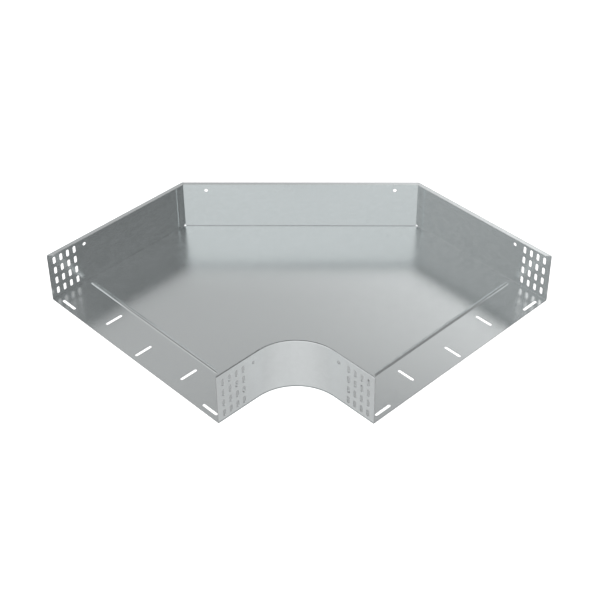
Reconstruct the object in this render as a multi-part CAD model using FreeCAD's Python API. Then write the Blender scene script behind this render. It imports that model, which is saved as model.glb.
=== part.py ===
import FreeCAD, Part
import math
import os

from FreeCAD import Vector

# Horizontal 90 degree bend for a cable tray, in galvanised sheet steel.
# One sheet makes the floor and the three outer walls, folded up and lapped at
# the back corners. A second strip makes the curved inner wall, whose foot is
# spot welded to the floor. Lengths are in millimetres. Until the last step
# the bend centre is the origin, one arm opens towards -X and the other
# towards -Y, and everything is symmetric about the plane x = y.

# Sheet
SHEET = 1.25                # thickness of the steel
FOLD_RADIUS = 0.8           # inside radius of every fold

# Plan of the bend
TRAY_WIDTH = 500.0          # across a mouth, outside to outside
ARM_LENGTH = 100.0          # straight run between a mouth and the curve
INNER_RADIUS = 100.0        # outside face of the curved inner wall
BACK_REACH = 250.0          # from the bend centre on to a back corner

# Walls
SIDE_HEIGHT = 114.0         # overall, floor included
LIP_WIDTH = 10.0            # flat lip along the top of every wall
FOOT_WIDTH = 10.0           # inner wall's foot, on the floor
CORNER_GAP = 0.4            # slit between the walls at a back corner
RELIEF_RADIUS = 3.0         # punched where the folds of a back corner meet
LAP_GAP = 0.1               # between a corner tab and the wall behind it
TAB_WIDTH = 17.0            # corner tab, from the back corner
TAB_CLEARANCE = 7.0         # above the floor and below the lip
WELD_DIAMETER = 5.0         # spot welds of the corner tabs
WELD_COUNT = 3              # in each corner tab

# Perforation at each end of each wall
WALL_SLOT_LENGTH = 17.0     # upright slots
WALL_SLOT_WIDTH = 7.0
SLOT_COLUMNS = 4
SLOT_ROWS = 4
FIRST_COLUMN = 15.25        # from the mouth
COLUMN_PITCH = 16.5
LOWEST_ROW = 17.25          # above the underside
ROW_PITCH = 25.0
HOLE_DIAMETER = 8.0         # round holes, beside the top row of slots
HOLE_LEVEL = 93.0           # above the underside
HOLE_FROM_CURVE = 10.0      # in the straight run, before the curve starts
HOLE_FROM_CORNER = 50.0     # the two in the back wall, along the wall

# Slots in the floor behind each mouth
FLOOR_SLOT_LENGTH = 40.0
FLOOR_SLOT_WIDTH = 6.5
CROSS_SLOT_FROM_MOUTH = 12.5
CROSS_SLOT_FROM_WALL = 37.5
SIDE_SLOT_FROM_MOUTH = 47.0
MIDDLE_SLOT_FROM_MOUTH = 29.0
LONG_SLOT_SPACING = 112.5   # across the tray

# Stiffening bead across each arm, pressed up from below
BEAD_FROM_MOUTH = 89.5
BEAD_WIDTH = 10.0
BEAD_HEIGHT = 2.5
BEAD_TOE_RADIUS = 1.0       # where its flanks meet the flat floor, on top
BEAD_FROM_WALL = 12.5       # its rounded ends stop short of both walls

# Derived places
UP = Vector(0, 0, 1)
OUTER_FACE = INNER_RADIUS + TRAY_WIDTH
MOUTH = -ARM_LENGTH
OVERALL = ARM_LENGTH + OUTER_FACE
FOLD_REACH = SHEET + FOLD_RADIUS
CORNER_TURN = math.pi / 4
HALF_TURN = CORNER_TURN / 2
QUARTER_CIRCLE = math.degrees(math.pi / 2)
DIAGONAL = Vector(-1, 1, 0).normalize()
BACK_INWARD = Vector(-1, -1, 0).normalize()
LEFT_CORNER = Vector(BACK_REACH, OUTER_FACE, 0)
RIGHT_CORNER = Vector(OUTER_FACE, BACK_REACH, 0)


def mirrored(shape):
    """The same feature on the other arm."""
    return shape.mirror(Vector(0, 0, 0), Vector(1, -1, 0))


def on_both_arms(shapes):
    return shapes + [mirrored(shape) for shape in shapes]


def placed(shape, origin, first, second):
    """Turn a shape drawn on XY so that its X runs along first and its Y along second."""
    third = first.cross(second)
    turn = FreeCAD.Matrix(
        first.x, second.x, third.x, origin.x,
        first.y, second.y, third.y, origin.y,
        first.z, second.z, third.z, origin.z,
        0, 0, 0, 1)
    moved = shape.copy()
    moved.Placement = FreeCAD.Placement(turn)
    return moved


def polygon(corners):
    return Part.Face(Part.makePolygon(corners + corners[:1]))


def side_normal(start, end):
    along = (end - start).normalize()
    return Vector(-along.y, along.x, 0)


def centre_line(points, middle_radius):
    """Straight and round pieces of a folded line, each a list of points with their normals."""
    pieces = []
    start = points[0]
    normal_in = side_normal(points[0], points[1])
    for before, corner, after in zip(points, points[1:], points[2:]):
        normal_out = side_normal(corner, after)
        reach = middle_radius * math.tan(normal_in.getAngle(normal_out) / 2)
        fold_start = corner + (before - corner).normalize() * reach
        fold_end = corner + (after - corner).normalize() * reach
        inside = 1 if normal_in.cross(normal_out).z > 0 else -1
        fold_centre = fold_start + normal_in * (inside * middle_radius)
        normal_middle = (normal_in + normal_out).normalize()
        fold_middle = fold_centre - normal_middle * (inside * middle_radius)
        pieces.append([(start, normal_in), (fold_start, normal_in)])
        pieces.append([(fold_start, normal_in), (fold_middle, normal_middle), (fold_end, normal_out)])
        start, normal_in = fold_end, normal_out
    pieces.append([(start, normal_in), (points[-1], normal_in)])
    return pieces


def folded_section(points):
    """Cross section of the sheet along a centre line, with every corner folded round."""
    pieces = centre_line(points, FOLD_RADIUS + SHEET / 2)
    edges = []
    ends = []
    for offset in (SHEET / 2, -SHEET / 2):
        for piece in pieces:
            shifted = [point + normal * offset for point, normal in piece]
            curve = Part.Arc(*shifted) if len(shifted) == 3 else Part.LineSegment(*shifted)
            edges.append(curve.toShape())
        ends.append([pieces[0][0][0] + pieces[0][0][1] * offset,
                     pieces[-1][-1][0] + pieces[-1][-1][1] * offset])
    for near, far in zip(*ends):
        edges.append(Part.LineSegment(near, far).toShape())
    return Part.Face(Part.Wire(Part.sortEdges(edges)[0]))


def obround(length, width):
    """Slot outline on XY, long along X and centred on the origin."""
    reach, radius = (length - width) / 2, width / 2
    upper = Part.LineSegment(Vector(-reach, radius, 0), Vector(reach, radius, 0))
    right = Part.Arc(Vector(reach, radius, 0), Vector(reach + radius, 0, 0), Vector(reach, -radius, 0))
    lower = Part.LineSegment(Vector(reach, -radius, 0), Vector(-reach, -radius, 0))
    left = Part.Arc(Vector(-reach, -radius, 0), Vector(-reach - radius, 0, 0), Vector(-reach, radius, 0))
    return Part.Face(Part.Wire([curve.toShape() for curve in (upper, right, lower, left)]))


def punch(outline, centre, along, across):
    """Cutter through the sheet: the outline, run both ways along its own normal."""
    depth = 2 * FOLD_REACH
    tool = placed(outline, centre, along, across)
    normal = along.cross(across)
    tool.translate(normal * -depth)
    return tool.extrude(normal * (2 * depth))


def round_punch(centre, axis):
    depth = 2 * FOLD_REACH
    return Part.makeCylinder(HOLE_DIAMETER / 2, 2 * depth, centre - axis * depth, axis)


def wall_end_punches(wall_face):
    """Upright slots and one round hole at the end of a wall that runs along X."""
    slot = obround(WALL_SLOT_LENGTH, WALL_SLOT_WIDTH)
    tools = []
    for column in range(SLOT_COLUMNS):
        for row in range(SLOT_ROWS):
            centre = Vector(MOUTH + FIRST_COLUMN + column * COLUMN_PITCH, wall_face,
                            LOWEST_ROW + row * ROW_PITCH)
            tools.append(punch(slot, centre, UP, Vector(1, 0, 0)))
    tools.append(round_punch(Vector(-HOLE_FROM_CURVE, wall_face, HOLE_LEVEL), Vector(0, 1, 0)))
    return tools


def back_wall_punches():
    tools = []
    for corner, along in ((LEFT_CORNER, DIAGONAL * -1), (RIGHT_CORNER, DIAGONAL)):
        centre = corner + along * HOLE_FROM_CORNER + UP * HOLE_LEVEL
        tools.append(round_punch(centre, BACK_INWARD))
    return tools


def floor_punches():
    """Two slots across the tray beside the walls, and three along it between them."""
    slot = obround(FLOOR_SLOT_LENGTH, FLOOR_SLOT_WIDTH)
    middle = INNER_RADIUS + TRAY_WIDTH / 2
    along, across = Vector(1, 0, 0), Vector(0, 1, 0)
    tools = []
    for distance in (INNER_RADIUS + CROSS_SLOT_FROM_WALL, OUTER_FACE - CROSS_SLOT_FROM_WALL):
        tools.append(punch(slot, Vector(MOUTH + CROSS_SLOT_FROM_MOUTH, distance, 0), across, along))
    for step, from_mouth in ((-1, SIDE_SLOT_FROM_MOUTH), (0, MIDDLE_SLOT_FROM_MOUTH),
                             (1, SIDE_SLOT_FROM_MOUTH)):
        centre = Vector(MOUTH + from_mouth, middle + step * LONG_SLOT_SPACING, 0)
        tools.append(punch(slot, centre, along, across))
    return tools


def lip_end_cut(wall_face, inward):
    """Wedge that mitres the lip at a mouth, from the outer edge at 45 degrees."""
    level = SIDE_HEIGHT - FOLD_REACH
    far = 2 * LIP_WIDTH
    tip = Vector(MOUTH, wall_face, level)
    wedge = polygon([tip, tip + Vector(far, inward * far, 0), tip + Vector(0, inward * far, 0)])
    return wedge.extrude(UP * (2 * FOLD_REACH))


def wall_run(section, start, inward, length):
    """A section drawn with X inward and Y up, run along the wall."""
    along = inward.cross(UP)
    return placed(section, start, inward, UP).extrude(along * length)


def outer_wall_section():
    half = SHEET / 2
    return folded_section([
        Vector(2 * FOLD_REACH, half, 0), Vector(half, half, 0),
        Vector(half, SIDE_HEIGHT - half, 0), Vector(LIP_WIDTH, SIDE_HEIGHT - half, 0)])


def corner_mitre(corner, side):
    """Slab that trims one wall along the bisector of a back corner, leaving half of the slit."""
    bisector = Vector(-math.sin(HALF_TURN), -math.cos(HALF_TURN), 0)
    across = Vector(math.cos(HALF_TURN), -math.sin(HALF_TURN), 0) * side
    reach = 2 * LIP_WIDTH
    near = corner - bisector * reach - across * (CORNER_GAP / 2)
    far = corner + bisector * reach - across * (CORNER_GAP / 2)
    slab = polygon([near, far, far + across * reach, near + across * reach])
    return slab.extrude(UP * SIDE_HEIGHT)


def side_wall():
    """Outer wall of the arm that opens towards -X, from its mouth to the back corner."""
    length = BACK_REACH - MOUTH
    wall = wall_run(outer_wall_section(), LEFT_CORNER, Vector(0, -1, 0), length)
    return wall.cut([corner_mitre(LEFT_CORNER, 1), lip_end_cut(OUTER_FACE, -1)])


def corner_tab():
    """Tab of the back wall, folded to lie inside the side wall, with the fold that carries it.

    Returns the tab and the block of back wall whose place the fold takes.
    """
    half = SHEET / 2
    lap = SHEET + LAP_GAP + half
    vertex = LEFT_CORNER + Vector(lap - half / math.cos(CORNER_TURN), -lap, 0)
    fold_length = (FOLD_RADIUS + half) * math.tan(HALF_TURN) + SHEET
    tab_end = Vector(BACK_REACH - TAB_WIDTH, vertex.y, 0)
    section = folded_section([tab_end, vertex, vertex - DIAGONAL * fold_length])
    height = SIDE_HEIGHT - 2 * TAB_CLEARANCE
    section.translate(UP * TAB_CLEARANCE)
    tab = section.extrude(UP * height)

    cut_end = vertex - DIAGONAL * fold_length
    reach = BACK_INWARD * (2 * SHEET)
    block = polygon([cut_end - reach, cut_end + reach,
                     cut_end + reach + DIAGONAL * TAB_WIDTH, cut_end - reach + DIAGONAL * TAB_WIDTH])
    block.translate(UP * TAB_CLEARANCE)
    return tab, block.extrude(UP * height)


def tab_welds():
    """Weld nuggets between a corner tab and the side wall, evenly spaced up the lap."""
    spacing = (SIDE_HEIGHT - 2 * TAB_CLEARANCE) / WELD_COUNT
    across = Vector(0, 1, 0)
    lap_face = OUTER_FACE - SHEET - LAP_GAP
    welds = []
    for step in range(WELD_COUNT):
        level = TAB_CLEARANCE + spacing / 2 + spacing * step
        centre = Vector(BACK_REACH - TAB_WIDTH / 2, lap_face, level)
        welds.append(Part.makeCylinder(WELD_DIAMETER / 2, LAP_GAP, centre, across))
    return welds


def back_wall():
    """Diagonal wall between the back corners, with a tab at each end."""
    length = (LEFT_CORNER - RIGHT_CORNER).Length
    wall = wall_run(outer_wall_section(), RIGHT_CORNER, BACK_INWARD, length)
    tab, block = corner_tab()
    trim = corner_mitre(LEFT_CORNER, -1)
    wall = wall.cut([trim, mirrored(trim), block, mirrored(block)])
    return wall.fuse(on_both_arms([tab]))


def floor_plate():
    """Flat part of the floor, as far as the folds of the outer walls and the edge under the inner wall."""
    inset = OUTER_FACE - FOLD_REACH
    corner = BACK_REACH - FOLD_REACH * math.tan(HALF_TURN)
    outer = [Vector(MOUTH, INNER_RADIUS, 0), Vector(MOUTH, inset, 0), Vector(corner, inset, 0),
             Vector(inset, corner, 0), Vector(inset, MOUTH, 0), Vector(INNER_RADIUS, MOUTH, 0),
             Vector(INNER_RADIUS, 0, 0)]
    edges = [Part.LineSegment(start, end).toShape() for start, end in zip(outer, outer[1:])]
    halfway = INNER_RADIUS * math.cos(CORNER_TURN)
    edges.append(Part.Arc(Vector(INNER_RADIUS, 0, 0), Vector(halfway, halfway, 0),
                          Vector(0, INNER_RADIUS, 0)).toShape())
    edges.append(Part.LineSegment(Vector(0, INNER_RADIUS, 0), outer[0]).toShape())
    return Part.Face(Part.Wire(edges)).extrude(UP * SHEET)


def bead():
    """Pressed bead across one arm and the floor outline that it replaces.

    Its section is a tight toe arc and a wide crest arc on each flank, with
    the same thickness of sheet all the way.
    """
    half_width = BEAD_WIDTH / 2
    both_radii = (half_width ** 2 + BEAD_HEIGHT ** 2) / (2 * BEAD_HEIGHT)
    crest_radius = both_radii - BEAD_TOE_RADIUS
    slope = math.asin(half_width / both_radii)

    def toe_point(level, radius, turn):
        return Vector(half_width - radius * math.sin(turn), 0, level + radius * (1 - math.cos(turn)))

    def crest_point(level, radius, turn):
        return Vector(radius * math.sin(turn), 0, level + BEAD_HEIGHT - radius * (1 - math.cos(turn)))

    def flank(level, toe, crest):
        """Toe and crest arcs from the edge of the bead to its middle line."""
        edge = toe_point(level, toe, 0)
        joint = toe_point(level, toe, slope)
        top = crest_point(level, crest, 0)
        toe_arc = Part.Arc(edge, toe_point(level, toe, slope / 2), joint)
        crest_arc = Part.Arc(joint, crest_point(level, crest, slope / 2), top)
        return [toe_arc.toShape(), crest_arc.toShape()], edge, top

    upper, upper_edge, upper_top = flank(SHEET, BEAD_TOE_RADIUS, crest_radius)
    lower, lower_edge, lower_top = flank(0, BEAD_TOE_RADIUS + SHEET, crest_radius - SHEET)
    sides = [Part.LineSegment(lower_edge, upper_edge).toShape(),
             Part.LineSegment(upper_top, lower_top).toShape()]
    half_section = Part.Face(Part.Wire(Part.sortEdges(upper + lower + sides)[0]))

    from_mouth = MOUTH + BEAD_FROM_MOUTH
    first = Vector(from_mouth, INNER_RADIUS + BEAD_FROM_WALL + half_width, 0)
    last = Vector(from_mouth, OUTER_FACE - BEAD_FROM_WALL - half_width, 0)
    run = last - first
    half_circle = 2 * QUARTER_CIRCLE
    flanks = []
    for turn in (0, half_circle):
        side = half_section.rotated(Vector(0, 0, 0), UP, turn)
        flanks.append(side.translated(first).extrude(run))
    near_end = half_section.translated(first).revolve(first, UP, -half_circle)
    far_end = half_section.translated(last).revolve(last, UP, half_circle)
    pressed = flanks[0].fuse(flanks[1:] + [near_end, far_end]).removeSplitter()

    middle = (first + last) / 2
    outline = placed(obround(run.Length + BEAD_WIDTH, BEAD_WIDTH), middle, Vector(0, 1, 0), Vector(1, 0, 0))
    hole = outline.translated(UP * -SHEET).extrude(UP * (3 * SHEET))
    return pressed, hole


def relief():
    """Round opening left where two folds meet at a back corner, as seen square to each sheet."""
    centre = LEFT_CORNER + UP * (SHEET / 2)
    axes = (UP, Vector(0, -1, 0), BACK_INWARD)
    return [Part.makeCylinder(RELIEF_RADIUS, SHEET + FOLD_REACH, centre - axis * SHEET, axis)
            for axis in axes]


def folded_tray():
    """Floor and outer walls from one sheet."""
    walls = on_both_arms([side_wall()]) + [back_wall()]
    pressed, hole = bead()
    floor = floor_plate().cut(on_both_arms([hole]))
    sheet = floor.fuse(walls + on_both_arms([pressed]))
    cutters = on_both_arms(wall_end_punches(OUTER_FACE) + floor_punches() + relief())
    sheet = sheet.cut(cutters + back_wall_punches())
    return sheet.fuse(on_both_arms(tab_welds())).removeSplitter()


def inner_wall_section():
    """Foot on the floor, wall and lip: X runs inward from the outside face, Y runs up."""
    half = SHEET / 2
    foot_level = SHEET + half
    return folded_section([
        Vector(FOOT_WIDTH, foot_level, 0), Vector(half, foot_level, 0),
        Vector(half, SIDE_HEIGHT - half, 0), Vector(LIP_WIDTH, SIDE_HEIGHT - half, 0)])


def foot_end_cut():
    """Wedge that mitres the foot at a mouth like the lip above it."""
    far = 2 * FOOT_WIDTH
    tip = Vector(MOUTH, INNER_RADIUS, SHEET)
    wedge = polygon([tip, tip + Vector(far, far, 0), tip + Vector(0, far, 0)])
    return wedge.extrude(UP * FOLD_REACH)


def inner_wall():
    """Curved wall on the inside of the bend, with a straight run to each mouth."""
    section = inner_wall_section()
    inward = Vector(0, 1, 0)
    straight = wall_run(section, Vector(MOUTH, INNER_RADIUS, 0), inward, ARM_LENGTH)
    straight = straight.cut(
        wall_end_punches(INNER_RADIUS) + [lip_end_cut(INNER_RADIUS, 1), foot_end_cut()])
    curve_start = placed(section, Vector(0, INNER_RADIUS, 0), inward, UP)
    curve = curve_start.revolve(Vector(0, 0, 0), UP, -QUARTER_CIRCLE)
    return curve.fuse(on_both_arms([straight])).removeSplitter()


def main():
    os.makedirs("parts", exist_ok=True)
    centre = ARM_LENGTH - OVERALL / 2
    pieces = {"folded_tray": folded_tray(), "inner_wall": inner_wall()}
    for name, shape in pieces.items():
        shape.translate(Vector(centre, centre, 0))
        print(name, "solids", len(shape.Solids), "valid", shape.isValid(), "volume", round(shape.Volume))
        shape.exportStep("parts/%s.step" % name)


main()
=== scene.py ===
# %% [markdown]
# # A cable tray bend in bright galvanised sheet
#
# The object is a right-angle bend for a wide cable tray: one folded sheet makes the floor and the three
# outer walls, and a second strip makes the curved inner wall. Its solids come from a CAD model, so the
# script adds what CAD leaves out: the zinc surface, the marks of punching and spot welding, and a studio
# whose light the bare metal can mirror. All lengths are in metres and +Z is up.

# %% The fixed frame
import math

import bmesh
import bpy
from mathutils import Matrix, Vector


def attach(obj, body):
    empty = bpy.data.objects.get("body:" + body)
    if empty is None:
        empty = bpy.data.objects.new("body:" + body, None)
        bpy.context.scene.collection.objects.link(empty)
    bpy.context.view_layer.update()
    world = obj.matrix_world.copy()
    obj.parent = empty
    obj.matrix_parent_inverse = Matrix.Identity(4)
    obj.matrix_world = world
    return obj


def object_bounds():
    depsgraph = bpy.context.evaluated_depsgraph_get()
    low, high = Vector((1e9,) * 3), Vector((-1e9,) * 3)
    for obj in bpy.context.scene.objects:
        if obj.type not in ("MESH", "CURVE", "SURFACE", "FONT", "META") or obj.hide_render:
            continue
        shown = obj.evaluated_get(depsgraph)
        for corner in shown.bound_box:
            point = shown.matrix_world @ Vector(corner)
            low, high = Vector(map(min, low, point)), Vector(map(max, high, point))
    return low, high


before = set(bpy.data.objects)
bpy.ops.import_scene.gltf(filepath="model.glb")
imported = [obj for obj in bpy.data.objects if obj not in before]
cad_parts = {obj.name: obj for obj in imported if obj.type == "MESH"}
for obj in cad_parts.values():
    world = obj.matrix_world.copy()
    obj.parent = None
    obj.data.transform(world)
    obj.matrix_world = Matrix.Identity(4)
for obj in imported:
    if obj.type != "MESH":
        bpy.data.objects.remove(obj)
cad_low, cad_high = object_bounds()
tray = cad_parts["folded_tray"]
inner_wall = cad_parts["inner_wall"]
print("loaded", sorted(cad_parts), "size", [round(v, 3) for v in cad_high - cad_low])

# %% [markdown]
# ## The main places on the bend
#
# The part's own box gives its overall size. The rest are the few sizes that the marks on the sheet need,
# and each of them is written once. The bend is symmetric about the upright plane x = y, so a place on the
# left arm has a twin on the right arm with x and y exchanged.

# %% Places
MM = 0.001
half_span = cad_high.x
sheet_thickness = 1.25 * MM
tray_width = 500 * MM
inner_radius = 100 * MM
arm_length = 100 * MM
mouth = -half_span
inner_face = half_span - tray_width
bend_centre = Vector((mouth + arm_length, mouth + arm_length, 0))
print("bend centre", [round(v, 3) for v in bend_centre], "inner wall at", round(inner_face, 3))

# %% The row of welds on the tab of each back corner
WELDS_ON_TAB = 3
tab_width = 17 * MM
tab_clearance = 7 * MM
tab_foot, tab_top = tab_clearance, cad_high.z - tab_clearance
tab_pitch = (tab_top - tab_foot) / WELDS_ON_TAB
first_weld = tab_foot + tab_pitch / 2
print("welds on a tab every", round(tab_pitch / MM, 1), "mm from", round(first_weld / MM, 1), "mm up")

# %% [markdown]
# ## Writing a shader as arithmetic
#
# A node tree is easier to read as a formula than as a list of links. The class below wraps one output
# socket. Adding, multiplying or comparing two wrapped values makes the Math node for it, numbers may stand
# on either side, and anything else is made by one method that takes the node's type, its settings and the
# values of its inputs.

# %% The socket class


class Value:
    """One output socket of a node tree, with arithmetic that adds nodes."""

    def __init__(self, tree, socket):
        self.tree = tree
        self.socket = socket

    def node(self, kind, settings=(), output=0, **inputs):
        """Add a node; inputs are named after its sockets, or numbered as i0, i1, i2."""
        made = self.tree.nodes.new(kind)
        for name, setting in dict(settings).items():
            setattr(made, name, setting)
        for name, value in inputs.items():
            numbered = name[0] == "i" and name[1:].isdigit()
            socket = made.inputs[int(name[1:]) if numbered else name.replace("_", " ")]
            if isinstance(value, Value):
                self.tree.links.new(value.socket, socket)
            else:
                socket.default_value = value
        return Value(self.tree, made.outputs[output])

    def math(self, operation, *others):
        values = {"i%d" % place: value for place, value in enumerate((self,) + others)}
        return self.node("ShaderNodeMath", {"operation": operation}, **values)

    def vector(self, operation, other, output=0):
        return self.node("ShaderNodeVectorMath", {"operation": operation}, output, i0=self, i1=other)

    def __add__(self, other):
        return self.math("ADD", other)

    def __radd__(self, other):
        return self.math("ADD", other)

    def __sub__(self, other):
        return self.math("SUBTRACT", other)

    def __rsub__(self, other):
        return self.node("ShaderNodeMath", {"operation": "SUBTRACT"}, i0=other, i1=self)

    def __mul__(self, other):
        return self.math("MULTIPLY", other)

    def __rmul__(self, other):
        return self.math("MULTIPLY", other)

    def dot(self, direction):
        return self.vector("DOT_PRODUCT", direction, "Value")

    def step_between(self, low, high):
        """0 below low, 1 above high, and a smooth rise between."""
        settings = {"interpolation_type": "SMOOTHSTEP"}
        return self.node("ShaderNodeMapRange", settings, i0=self, i1=low, i2=high)

    def parts(self):
        split = self.node("ShaderNodeSeparateXYZ", i0=self)
        return [Value(self.tree, socket) for socket in split.socket.node.outputs]


def start(tree, kind, output, settings=()):
    """First value of a tree, from a node that has no inputs to link."""
    return Value(tree, None).node(kind, settings, output)


def mixed(factor, first, second):
    """Colour between two colours, by a wrapped factor."""
    settings = {"data_type": "RGBA", "clamp_factor": True}
    return factor.node("ShaderNodeMix", settings, 2, i0=factor, i6=first, i7=second)


# %% [markdown]
# ## Galvanised sheet
#
# The real sheet is rolled steel with a thin coat of zinc. It mirrors its surroundings softly. A bare metal
# has no colour of its own apart from its tint, so the finish is a metallic shader with a low roughness, and
# what varies is small: the faint crystals of the zinc, fine lines along the direction of rolling, and slow
# clouds in its tone. Three places differ. Along the tight fold at the back, shade is painted into the colour
# as a darker line, the cut edges at the mouths show bare steel, and each spot weld of the back corners
# leaves a straw-coloured ring on the outside.
#
# The lines lie on the flat blank, before folding. Adding the height times the surface normal to the
# position lays each wall back down beside the floor, so the pattern turns the corner as the sheet did.

# %% Painted shade of the fold, bare cut edges and heated places
FOLD_FADES = (1.5 * MM, 4 * MM)
EDGE_DEPTH = 0.05 * MM
HEAT_BEGINS, HEAT_ENDS = (1.5 * MM, 3 * MM), (3.5 * MM, 6 * MM)
OUTER_SKIN = 0.3 * MM


# The mask below marks where shade is painted into the colour along the back crease.
def back_fold(across, along, level):
    """1 in the tight fold between the floor and the back wall, 0 from a few millimetres beside it."""
    from_back = (half_span - across - along) * math.sqrt(0.5)
    return (1 - from_back.step_between(*FOLD_FADES)) * (1 - level.step_between(*FOLD_FADES))


def cut_edge(across, along):
    """1 on the cut edges at the two mouths."""
    end = mouth + EDGE_DEPTH
    return across.math("LESS_THAN", end).math("MAXIMUM", along.math("LESS_THAN", end))


def heat_ring(across, along, level):
    """1 in a ring round each spot weld on the outside of the back corners."""
    beside = across.math("MINIMUM", along) + tab_width / 2
    above = (level - tab_foot).math("FLOORED_MODULO", tab_pitch) - tab_pitch / 2
    radius = (beside * beside + above * above).math("SQRT")
    ring = radius.step_between(*HEAT_BEGINS) * (1 - radius.step_between(*HEAT_ENDS))
    in_row = level.math("GREATER_THAN", tab_foot) * level.math("LESS_THAN", tab_top)
    outside = across.math("MAXIMUM", along).math("GREATER_THAN", half_span - OUTER_SKIN)
    return ring * in_row * outside


# %% Colours of the zinc, and how strong each place is
ZINC_TINT = (0.775, 0.805, 0.81)
PALER, DEEPER = 1.045, 0.955
# Darker colour painted along the back fold as its shade
PAINTED_FOLD_SHADE = (0.6, 0.62, 0.63, 1.0)
BARE_STEEL = (0.4, 0.4, 0.41, 1.0)
HEATED_ZINC = (0.5, 0.45, 0.36, 1.0)
# How strongly the painted fold shade, the bare steel and the heat stain show
FOLD_SHADE_STRENGTH, EDGE_BARED, HEAT_STAINED = 0.9, 0.8, 0.5

# %% Pattern of the zinc
CRYSTALS_PER_METRE, CLOUDS_PER_METRE = 110.0, 9.0
GRAIN_ALONG, GRAIN_ACROSS = 3, 900
CRYSTAL_TONE, GRAIN_TONE, CLOUD_TONE = 0.308, 0.231, 0.462
CRYSTAL_RELIEF, GRAIN_RELIEF = 0.15, 0.85
RELIEF_STRENGTH, RELIEF_HEIGHT = 0.013, 0.5 * MM
SMOOTHEST, UNEVEN, EDGE_ROUGHER, HEAT_ROUGHER = 0.2, 0.03, 0.15, 0.1

# %% Zinc


def zinc(name, tint, flat_blank):
    """Galvanised finish. flat_blank says that the grain runs along X over the unfolded sheet."""
    material = bpy.data.materials.new(name)
    material.use_nodes = True
    tree = material.node_tree
    shader = tree.nodes["Principled BSDF"]
    place = start(tree, "ShaderNodeTexCoord", "Object")
    across, along, level = place.parts()
    sheet, stretch = place, (GRAIN_ALONG, GRAIN_ALONG, GRAIN_ACROSS)
    if flat_blank:
        facing = start(tree, "ShaderNodeTexCoord", "Normal")
        lifted = facing.node("ShaderNodeVectorMath", {"operation": "SCALE"}, i0=facing, Scale=level)
        sheet, stretch = place.vector("ADD", lifted), (GRAIN_ALONG, GRAIN_ACROSS, 0)
    cells = {"Vector": sheet, "Scale": CRYSTALS_PER_METRE}
    crystals = sheet.node("ShaderNodeTexVoronoi", {"feature": "F1"}, "Color", **cells)
    crystal = crystals.node("ShaderNodeSeparateColor", i0=crystals)
    stretched = sheet.vector("MULTIPLY", stretch)
    grain = stretched.node("ShaderNodeTexNoise", Vector=stretched, Scale=1.0, Detail=2.0)
    clouds = place.node("ShaderNodeTexNoise", Vector=place, Scale=CLOUDS_PER_METRE, Detail=2.0)
    fold = back_fold(across, along, level)
    edge = cut_edge(across, along)
    heat = heat_ring(across, along, level)
    pale = [min(1.0, channel * PALER) for channel in tint] + [1.0]
    deep = [channel * DEEPER for channel in tint] + [1.0]
    colour = mixed(crystal * CRYSTAL_TONE + grain * GRAIN_TONE + clouds * CLOUD_TONE, deep, pale)
    # Painted shade: a darker line in the colour along the back fold
    colour = mixed(fold * FOLD_SHADE_STRENGTH, colour, PAINTED_FOLD_SHADE)
    colour = mixed(edge * EDGE_BARED, colour, BARE_STEEL)
    colour = mixed(heat * HEAT_STAINED, colour, HEATED_ZINC)
    tree.links.new(colour.socket, shader.inputs["Base Color"])
    roughness = SMOOTHEST + (crystal + grain + clouds) * UNEVEN + edge * EDGE_ROUGHER + heat * HEAT_ROUGHER
    tree.links.new(roughness.socket, shader.inputs["Roughness"])
    shader.inputs["Metallic"].default_value = 1.0
    relief = crystal * CRYSTAL_RELIEF + grain * GRAIN_RELIEF
    lines = {"Strength": RELIEF_STRENGTH, "Distance": RELIEF_HEIGHT, "Height": relief}
    tree.links.new(relief.node("ShaderNodeBump", **lines).socket, shader.inputs["Normal"])
    return material


# %% The two sheets in zinc
tray_zinc = zinc("galvanised_folded_sheet", ZINC_TINT, True)
strip_zinc = zinc("galvanised_strip", ZINC_TINT, False)
tray.data.materials.clear()
tray.data.materials.append(tray_zinc)
inner_wall.data.materials.clear()
inner_wall.data.materials.append(strip_zinc)
print("materials", tray_zinc.name, strip_zinc.name)

# %% Plain zinc for small marks


def plain_zinc(name, colour, roughness):
    """Metal of one tone, for marks too small to show a pattern."""
    material = bpy.data.materials.new(name)
    material.use_nodes = True
    shader = material.node_tree.nodes["Principled BSDF"]
    shader.inputs["Base Color"].default_value = tuple(colour) + (1.0,)
    shader.inputs["Roughness"].default_value = roughness
    shader.inputs["Metallic"].default_value = 1.0
    return material


# %% [markdown]
# ## Growing marks with Geometry Nodes
#
# The rest of the detail is small marks that repeat: a burr round every punched opening, and a dimple
# wherever two sheets are spot welded. They could be modelled one by one, but each kind is one node tree
# with its sizes as named inputs, which copies a mark over points and makes one mesh of the copies. The
# helpers below build a tree's inputs, run it on a guide line drawn flat, keep the result as a plain mesh,
# and lay that mesh on its walls.

# %% Helpers for the trees


def new_tree(name, sizes):
    """Geometry tree with named inputs. Returns it with the values of those inputs."""
    tree = bpy.data.node_groups.new(name, "GeometryNodeTree")
    tree.interface.new_socket("Geometry", in_out="OUTPUT", socket_type="NodeSocketGeometry")
    tree.interface.new_socket("Guide", in_out="INPUT", socket_type="NodeSocketGeometry")
    for label, preset in sizes.items():
        kind = "NodeSocketInt" if isinstance(preset, int) else "NodeSocketFloat"
        tree.interface.new_socket(label, in_out="INPUT", socket_type=kind).default_value = preset
    entry = tree.nodes.new("NodeGroupInput")
    return tree, {socket.name: Value(tree, socket) for socket in entry.outputs if socket.name}


def close_tree(tree, copies, material):
    """End a tree: real geometry, smooth, in one material."""
    real = copies.node("GeometryNodeRealizeInstances", i0=copies)
    smooth = real.node("GeometryNodeSetShadeSmooth", i0=real)
    painted = smooth.node("GeometryNodeSetMaterial", i0=smooth, Material=material)
    tree.links.new(painted.socket, tree.nodes.new("NodeGroupOutput").inputs[0])


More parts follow.
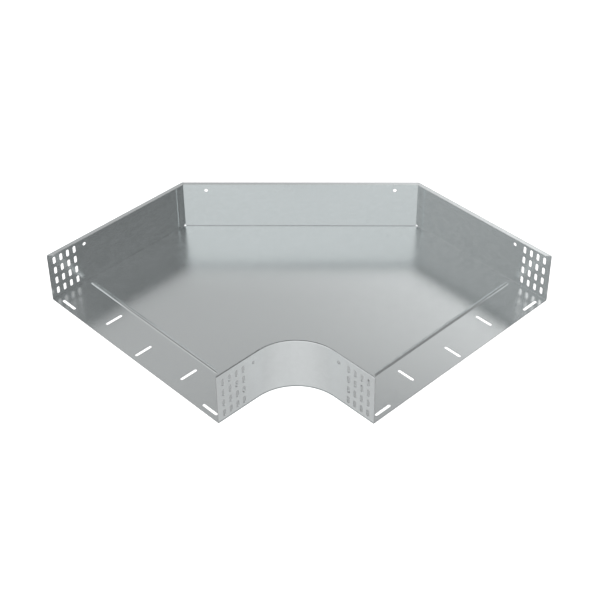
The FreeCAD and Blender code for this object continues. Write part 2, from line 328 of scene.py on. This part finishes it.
def grow(name, tree, sizes, guide, places):
    """Run a tree on a guide line, and join one laid copy of the result for each place."""
    line = bpy.data.meshes.new(name + "_guide")
    line.from_pydata(guide, [(k, k + 1) for k in range(len(guide) - 1)], [])
    carrier = bpy.data.objects.new(name + "_guide", line)
    bpy.context.scene.collection.objects.link(carrier)
    modifier = carrier.modifiers.new("marks", "NODES")
    modifier.node_group = tree
    identifiers = {item.name: item.identifier for item in tree.interface.items_tree}
    for label, size in sizes.items():
        modifier[identifiers[label]] = size
    mesh = bpy.data.meshes.new_from_object(carrier.evaluated_get(bpy.context.evaluated_depsgraph_get()))
    carrier.modifiers.remove(modifier)
    bpy.data.objects.remove(carrier)
    joined = bmesh.new()
    for place in places:
        laid = mesh.copy()
        laid.transform(place)
        joined.from_mesh(laid)
        bpy.data.meshes.remove(laid)
    bmesh.ops.recalc_face_normals(joined, faces=joined.faces)
    joined.to_mesh(mesh)
    joined.free()
    mesh.name = name
    piece = bpy.data.objects.new(name, mesh)
    bpy.context.scene.collection.objects.link(piece)
    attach(piece, "root")
    print(name, "has", len(mesh.polygons), "faces on", len(places), "places")


def laid_on(origin, along, across):
    """Matrix that lays X along one direction and Y along another, so that Z stands out of the sheet."""
    first, second = Vector(along), Vector(across)
    turn = Matrix((first, second, first.cross(second))).transposed().to_4x4()
    return Matrix.Translation(origin) @ turn


OTHER_ARM = Matrix(((0, 1, 0, 0), (1, 0, 0, 0), (0, 0, 1, 0), (0, 0, 0, 1)))
UP, EAST, WEST, NORTH = (0, 0, 1), (1, 0, 0), (-1, 0, 0), (0, 1, 0)


def both_arms(places):
    """The same places again on the other arm."""
    return places + [OTHER_ARM @ place for place in places]


# %% [markdown]
# ## Burrs round the punched openings
#
# A punch leaves a fine raised burr where it comes through the sheet. Seen close it is a thread of light
# round every slot. The tree draws the slot's outline as a rectangle whose corners are filleted round, sweeps
# a thin wire along it, and sets it on a grid of points, because the slots in the walls stand in rows and
# columns. A single slot is a grid of one, and a round hole is a slot as long as it is wide.

# %% Burr tree
BURR_ZINC = (0.72, 0.74, 0.75)
BURR_ROUGHNESS = 0.3
SLOT_LENGTH, SLOT_WIDTH = 17 * MM, 7 * MM
SLOT_PITCH_UP, SLOT_PITCH_ALONG = 25 * MM, 16.5 * MM
WIRE = 0.2 * MM
NEARLY_HALF = 0.49  # of the width, so that the fillets of a slot's end never meet

burr_zinc = plain_zinc("burr_zinc", BURR_ZINC, BURR_ROUGHNESS)
burr_tree, size = new_tree("punched_burrs", {
    "Length": SLOT_LENGTH, "Width": SLOT_WIDTH, "Columns": 1, "Rows": 1,
    "Column pitch": SLOT_PITCH_UP, "Row pitch": SLOT_PITCH_ALONG, "Wire": WIRE})
length, width, wire = (size[label] for label in ("Length", "Width", "Wire"))
box = width.node("GeometryNodeCurvePrimitiveQuadrilateral", i0=length, i1=width)
round_ends = {"Count": 3, "Radius": width * NEARLY_HALF, "Limit_Radius": True}
outline = box.node("GeometryNodeFilletCurve", {"mode": "POLY"}, i0=box, **round_ends)
section = wire.node("GeometryNodeCurvePrimitiveCircle", Resolution=4, Radius=wire)
rim = outline.node("GeometryNodeCurveToMesh", i0=outline, i1=section)
long_side = (size["Columns"] - 1) * size["Column pitch"]
short_side = (size["Rows"] - 1) * size["Row pitch"]
grid = rim.node("GeometryNodeMeshGrid", i0=long_side, i1=short_side, i2=size["Columns"], i3=size["Rows"])
close_tree(burr_tree, grid.node("GeometryNodeInstanceOnPoints", i0=grid, Instance=rim), burr_zinc)

# %% Burrs on the walls
wall_inside = half_span - sheet_thickness
strip_inside = inner_face + sheet_thickness
slots_from_mouth, slots_level = 40 * MM, 54.75 * MM
hole_from_mouth, hole_level = 90 * MM, 93 * MM
hole_width = 8 * MM
back_hole_from_corner = 50 * MM
ONE_POINT = [(0, 0, 0)]

slant = Vector((-math.sqrt(0.5), math.sqrt(0.5), 0))
out_of_back = Vector((-math.sqrt(0.5), -math.sqrt(0.5), 0))
back_corner = Vector((0, half_span, hole_level))
back_hole = back_corner - back_hole_from_corner * slant + sheet_thickness * out_of_back
slot_places, hole_places = [], [laid_on(back_hole, UP, slant)]
for face, across in ((wall_inside, WEST), (strip_inside, EAST)):
    slot_places.append(laid_on((mouth + slots_from_mouth, face, slots_level), UP, across))
    hole_places.append(laid_on((mouth + hole_from_mouth, face, hole_level), UP, across))
round_hole = {"Length": hole_width, "Width": hole_width}
grow("slot_burrs", burr_tree, {"Columns": 4, "Rows": 4}, ONE_POINT, both_arms(slot_places))
grow("hole_burrs", burr_tree, round_hole, ONE_POINT, both_arms(hole_places))

# %% Burrs on the floor
LONG_SLOTS = [(47, -12.5), (29, 100), (47, 212.5)]  # millimetres from the mouth, and along it
CROSS_SLOTS = [(12.5, -112.5), (12.5, 312.5)]
floor_slot = {"Length": 40 * MM, "Width": 6.5 * MM}
floor_places = []
for slots, along, across in ((LONG_SLOTS, EAST, NORTH), (CROSS_SLOTS, NORTH, WEST)):
    for from_mouth, along_mouth in slots:
        origin = (mouth + from_mouth * MM, along_mouth * MM, sheet_thickness)
        floor_places.append(laid_on(origin, along, across))
grow("floor_slot_burrs", burr_tree, floor_slot, ONE_POINT, both_arms(floor_places))

# %% [markdown]
# ## Spot welds
#
# The curved wall stands on the floor on a narrow foot, and the back corners are closed by tabs that lap
# inside the walls. Spot welds hold both: each leaves a shallow round dimple with a low rim, dulled by the
# heat. The tree resamples a guide line at an even spacing and sets a flattened ball and a flattened ring on
# every point, so the row of welds follows the foot round its curve.

# %% Weld tree
WELD_ZINC = (0.73, 0.75, 0.75)
WELD_ROUGHNESS = 0.27
WELD_SIZES = {"Spacing": 45 * MM, "Weld radius": 2.5 * MM, "Rim": 0.13 * MM}
DIMPLE_SHARE = 0.85  # of the weld's radius
DIMPLE_FLAT, RIM_FLAT = (1.0, 1.0, 0.035), (1.0, 1.0, 0.6)  # flattened onto the sheet

weld_zinc = plain_zinc("heated_zinc", WELD_ZINC, WELD_ROUGHNESS)
weld_tree, size = new_tree("spot_welds", WELD_SIZES)
guide_line = size["Guide"].node("GeometryNodeMeshToCurve", i0=size["Guide"])
even = {"Length": size["Spacing"]}
spaced = guide_line.node("GeometryNodeResampleCurve", {"mode": "LENGTH"}, i0=guide_line, **even)
dimple_radius = size["Weld radius"] * DIMPLE_SHARE
ball = spaced.node("GeometryNodeMeshUVSphere", Segments=16, Rings=8, Radius=dimple_radius)
circle = spaced.node("GeometryNodeCurvePrimitiveCircle", Resolution=20, Radius=size["Weld radius"])
section = spaced.node("GeometryNodeCurvePrimitiveCircle", Resolution=6, Radius=size["Rim"])
ring = circle.node("GeometryNodeCurveToMesh", i0=circle, i1=section)
flat_ball = ball.node("GeometryNodeTransform", i0=ball, Scale=DIMPLE_FLAT)
flat_ring = ring.node("GeometryNodeTransform", i0=ring, Scale=RIM_FLAT)
join = weld_tree.nodes.new("GeometryNodeJoinGeometry")
for part in (flat_ball, flat_ring):
    weld_tree.links.new(part.socket, join.inputs[0])
mark = Value(weld_tree, join.outputs[0])
close_tree(weld_tree, mark.node("GeometryNodeInstanceOnPoints", i0=spaced, Instance=mark), weld_zinc)

# %% Welds along the foot
CURVE_STEPS = 24
foot_top = 2 * sheet_thickness
foot_middle = 6.2 * MM
weld_from_mouth = 22 * MM
foot_line = inner_radius + foot_middle
foot_path = [Vector((mouth + weld_from_mouth, bend_centre.y + foot_line, 0))]
for step in range(CURVE_STEPS + 1):
    turn = math.pi / 2 * (1 - step / CURVE_STEPS)
    foot_path.append(bend_centre + foot_line * Vector((math.cos(turn), math.sin(turn), 0)))
foot_path.append(OTHER_ARM @ foot_path[0])
grow("foot_welds", weld_tree, {}, foot_path, [Matrix.Translation((0, 0, foot_top))])

# %% Welds on the tabs
JUST_UNDER = 0.99  # of the pitch, so that rounding never drops the last weld of a row
tab_gap = 0.1 * MM
tab_face = half_span - 2 * sheet_thickness - tab_gap
tab_row = laid_on((-tab_width / 2, tab_face, first_weld), UP, WEST)
tab_line = [(0, 0, 0), ((WELDS_ON_TAB - 1) * tab_pitch, 0, 0)]
grow("tab_welds", weld_tree, {"Spacing": tab_pitch * JUST_UNDER}, tab_line, both_arms([tab_row]))

# %% [markdown]
# ## The studio
#
# Bare metal is as light or dark as what it mirrors, so the studio is drawn by what the sheet shows of it.
# The floor of the tray looks past the back wall, at a row of small windows on the right, a low window on
# the left and a few dimmer ones round them. The walls and the rolled edges look back over the camera, where
# lights stand in two rows, one low and one above it, with two more high up. No light is so strong that the
# metal turns white. Each light is a round patch of the world that fades from its middle to nothing, which
# is cheap to add up and has no hard edge for the metal to show. The camera itself sees white.

# %% Places of the lights
# for each reach in degrees, the lights at each elevation as (azimuth, strength)
SMALL_WINDOWS, WINDOWS, LAMPS = 11, 20, 28
LIGHTS = {
    SMALL_WINDOWS: {36: [(26, 0.45), (34, 0.85), (42, 0.3), (50, 0.2)]},
    WINDOWS: {12: [(36, 0.3), (64, 0.95)], 26: [(22, 0.25)], 40: [(64, 0.4)], 54: [(8, 0.45), (78, 0.5)]},
    LAMPS: {
        8: [(120, 0.6), (150, 0.65), (180, 0.65), (210, 0.65), (240, 0.65), (270, 0.15), (330, 0.45)],
        30: [(120, 0.35), (150, 0.35), (180, 0.6), (210, 0.6), (240, 0.6), (270, 0.6), (330, 0.35)],
        54: [(216, 0.2), (288, 0.3)],
    },
}
SOFT_BOXES = []
for reach, rows in LIGHTS.items():
    for elevation, row in rows.items():
        SOFT_BOXES += [(azimuth, elevation, reach, strength) for azimuth, strength in row]
print("soft boxes", len(SOFT_BOXES))

# %% World


def direction(azimuth, elevation):
    """Unit vector at an angle round from +X, and above the floor, in degrees."""
    around, above = math.radians(azimuth), math.radians(elevation)
    return Vector((math.cos(above) * math.cos(around), math.cos(above) * math.sin(around), math.sin(above)))


def make_world():
    """World that the metal mirrors as soft patches of light, and the camera sees as white."""
    world = bpy.data.worlds.new("studio")
    world.use_nodes = True
    tree = world.node_tree
    looking = start(tree, "ShaderNodeTexCoord", "Generated")
    patches = []
    for azimuth, elevation, reach, strength in SOFT_BOXES:
        nearness = looking.dot(direction(azimuth, elevation))
        patches.append(nearness.step_between(math.cos(math.radians(reach)), 1.0) * strength)
    level = sum(patches)
    shade = level.node("ShaderNodeCombineColor", i0=level, i1=level, i2=level)
    seen = start(tree, "ShaderNodeLightPath", "Is Camera Ray")
    white = [1.0, 1.0, 1.0, 1.0]
    tree.links.new(mixed(seen, shade, white).socket, tree.nodes["Background"].inputs["Color"])
    return world


bpy.context.scene.world = make_world()
print("world", bpy.context.scene.world.name)

# %% [markdown]
# ## The floor
#
# A pale floor keeps the tray's shadow. The camera sees it almost white, and the metal mirrors it a little
# darker, as a lit white table looks from the side.

# %% Floor
FLOOR_REACH = 6.0
FLOOR_BELOW = -0.5 * MM
FLOOR_TONE, FLOOR_ROUGHNESS = 0.8, 0.9
FLOOR_GLOW = 0.92
FLOOR_MIRRORED = 0.5
FLOOR_SHINE, SHINE_ROUGHNESS = 0.4, 0.35


def floor_finish():
    """Matt white for the camera, and a satin sheen for what the metal mirrors."""
    material = bpy.data.materials.new("pale_floor")
    material.use_nodes = True
    tree = material.node_tree
    shader = tree.nodes["Principled BSDF"]
    shader.inputs["Base Color"].default_value = (FLOOR_TONE,) * 3 + (1.0,)
    shader.inputs["Roughness"].default_value = FLOOR_ROUGHNESS
    shader.inputs["Specular IOR Level"].default_value = 0.0
    shader.inputs["Emission Color"].default_value = (1.0, 1.0, 1.0, 1.0)
    glow = start(tree, "ShaderNodeLightPath", "Is Camera Ray") * FLOOR_GLOW
    tree.links.new(glow.socket, shader.inputs["Emission Strength"])
    sheen = {"Color": (FLOOR_SHINE,) * 3 + (1.0,), "Roughness": SHINE_ROUGHNESS}
    shine = glow.node("ShaderNodeBsdfGlossy", **sheen)
    lit = glow.node("ShaderNodeEmission", Strength=FLOOR_MIRRORED)
    satin = glow.node("ShaderNodeAddShader", i0=shine, i1=lit)
    mirrored = start(tree, "ShaderNodeLightPath", "Is Glossy Ray")
    matt = Value(tree, shader.outputs[0])
    seen = glow.node("ShaderNodeMixShader", i0=mirrored, i1=matt, i2=satin)
    tree.links.new(seen.socket, tree.nodes["Material Output"].inputs["Surface"])
    return material


def make_floor():
    """Wide pale square just under the tray."""
    mesh = bpy.data.meshes.new("floor")
    signs = ((-1, -1), (1, -1), (1, 1), (-1, 1))
    corners = [(x * FLOOR_REACH, y * FLOOR_REACH, FLOOR_BELOW) for x, y in signs]
    mesh.from_pydata(corners, [], [(0, 1, 2, 3)])
    mesh.materials.append(floor_finish())
    floor = bpy.data.objects.new("floor", mesh)
    bpy.context.scene.collection.objects.link(floor)
    print("floor", 2 * FLOOR_REACH, "m wide")


make_floor()

# %% [markdown]
# ## Light
#
# One large lamp above and in front of the tray gives the floor its soft shadow. It is kept out of the
# metal's reflections, which the world already shapes.

# %% Lamp


def make_lamp(name, place, size, power):
    """Round lamp that faces the middle of the tray and stays out of the metal's reflections."""
    light = bpy.data.lights.new(name, "AREA")
    light.shape = "DISK"
    light.size = size
    light.energy = power
    lamp = bpy.data.objects.new(name, light)
    lamp.location = place
    lamp.rotation_euler = (-Vector(place)).to_track_quat("-Z", "Y").to_euler()
    lamp.visible_glossy = False
    bpy.context.scene.collection.objects.link(lamp)
    print(name, "of", power, "W")


make_lamp("overhead_lamp", place=(-0.6, -0.9, 2.6), size=2.0, power=25)

# %% [markdown]
# ## The camera
#
# The camera stands in front of the inner corner and looks down on the bend at about 40 degrees. Its place,
# turn and lens were worked out from the known shape: the mouths, the back corners and the rows of slots.

# %% Camera
CAMERA_PLACE = (-1.6029, -1.6805, 1.9293)
YAW, PITCH, ROLL = 46.306, -39.72, -0.716  # degrees
LENS, SENSOR = 90.32, 36.0  # millimetres


def make_camera():
    """Camera turned about the upright by its yaw, then tilted by its pitch and its roll."""
    yaw, pitch, roll = (math.radians(angle) for angle in (YAW, PITCH, ROLL))
    turn = Matrix.Rotation(yaw - math.pi / 2, 4, "Z") @ Matrix.Rotation(math.pi / 2 + pitch, 4, "X")
    data = bpy.data.cameras.new("camera")
    data.lens = LENS
    data.sensor_width = SENSOR
    camera = bpy.data.objects.new("camera", data)
    camera.matrix_world = Matrix.Translation(CAMERA_PLACE) @ turn @ Matrix.Rotation(roll, 4, "Z")
    bpy.context.scene.collection.objects.link(camera)
    bpy.context.scene.camera = camera
    print("camera with a lens of", LENS, "mm")


make_camera()
bpy.context.scene.view_settings.view_transform = "Standard"
